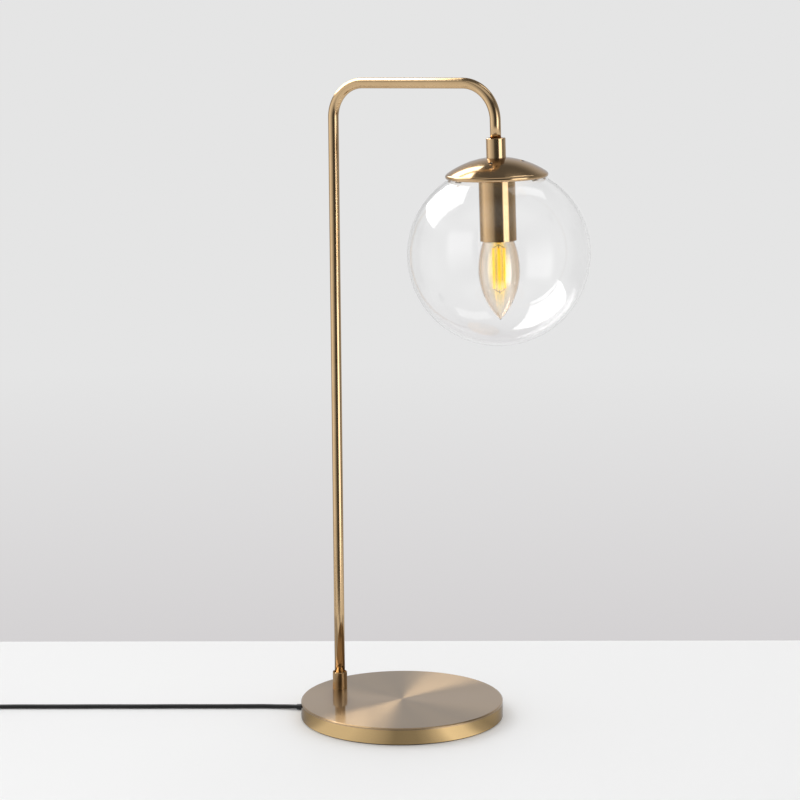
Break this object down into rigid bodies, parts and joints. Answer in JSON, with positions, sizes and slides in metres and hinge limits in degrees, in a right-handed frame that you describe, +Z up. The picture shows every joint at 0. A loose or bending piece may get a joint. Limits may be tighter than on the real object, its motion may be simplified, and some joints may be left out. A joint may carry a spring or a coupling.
{
  "type": "bedside lamp",
  "caption": "Bedside lamp: round weighted base, slim bent tube arm and a clear glass globe round a candle bulb, hanging under a domed metal cap, with corded switch and plug.",
  "frame": {"origin": "on the table under the centre of the round base", "axes": "+Z up; +X from the centre of the base along the arm, from the post to the globe; +Y to the left seen from the globe's side"},
  "size_m": [0.6191, 0.371, 0.5534],
  "materials": {
    "spun_bronze": "brushed",
    "bronze_tube": "satin",
    "plain_steel": "satin",
    "spring_steel": "satin",
    "cast_weight": "rough",
    "foot_rubber": "matt",
    "clear_glass": "clear",
    "tinted_glass": "clear, warm tint",
    "filament_glow": "glowing",
    "nickelled_cap": "bright",
    "contact_brass": "bright",
    "holder_plastic": "fine matt",
    "white_insulator": "matt",
    "black_glass": "gloss",
    "black_cable": "satin",
    "black_plastic": "fine matt"
  },
  "bodies": {
    "lamp": {"base_cover": "spun_bronze", "base_weight": "cast_weight", "base_pad": "foot_rubber", "foot_collar": "bronze_tube", "foot_stud": "plain_steel", "foot_washer": "plain_steel", "foot_nut": "plain_steel", "cord_relief": "black_cable", "base_lead": "black_cable", "arm_tube": "bronze_tube", "arm_lead": "white_insulator", "coupling": "bronze_tube", "coupling_screw": "plain_steel", "head_nipple": "plain_steel", "dome_cap": "spun_bronze", "globe_spring": "spring_steel", "lock_nut": "plain_steel", "glass_globe": "clear_glass", "holder_sleeve": "bronze_tube", "holder_cap": "holder_plastic", "holder_skirt": "holder_plastic", "holder_core": "white_insulator", "terminal_screws": "contact_brass", "socket_shell": "contact_brass", "centre_contact": "contact_brass", "bulb_cap": "nickelled_cap", "bulb_insulator": "black_glass", "bulb_contact": "plain_steel", "bulb_glass": "tinted_glass", "bulb_stem": "clear_glass", "bulb_wires": "plain_steel", "bulb_filaments": "filament_glow", "cord_run": "black_cable", "cord_link": "black_cable", "cord_coil": "black_cable", "cord_tail": "black_cable", "cord_tie": "black_plastic", "switch_base": "black_plastic", "switch_cover": "black_plastic", "switch_terminals": "contact_brass", "switch_screws": "plain_steel", "plug_body": "black_plastic", "plug_pins": "plain_steel", "pin_sleeves": "black_plastic"},
    "rocker": {"switch_rocker": "black_plastic"}
  },
  "joints": [
    {"name": "switch_rocker_tip", "type": "hinge", "parent": "lamp", "child": "rocker", "pos_m": [-0.371, -0.195, 0.0125], "axis": [0.509, -0.8607, 0], "range_deg": [0, 16]}
  ]
}
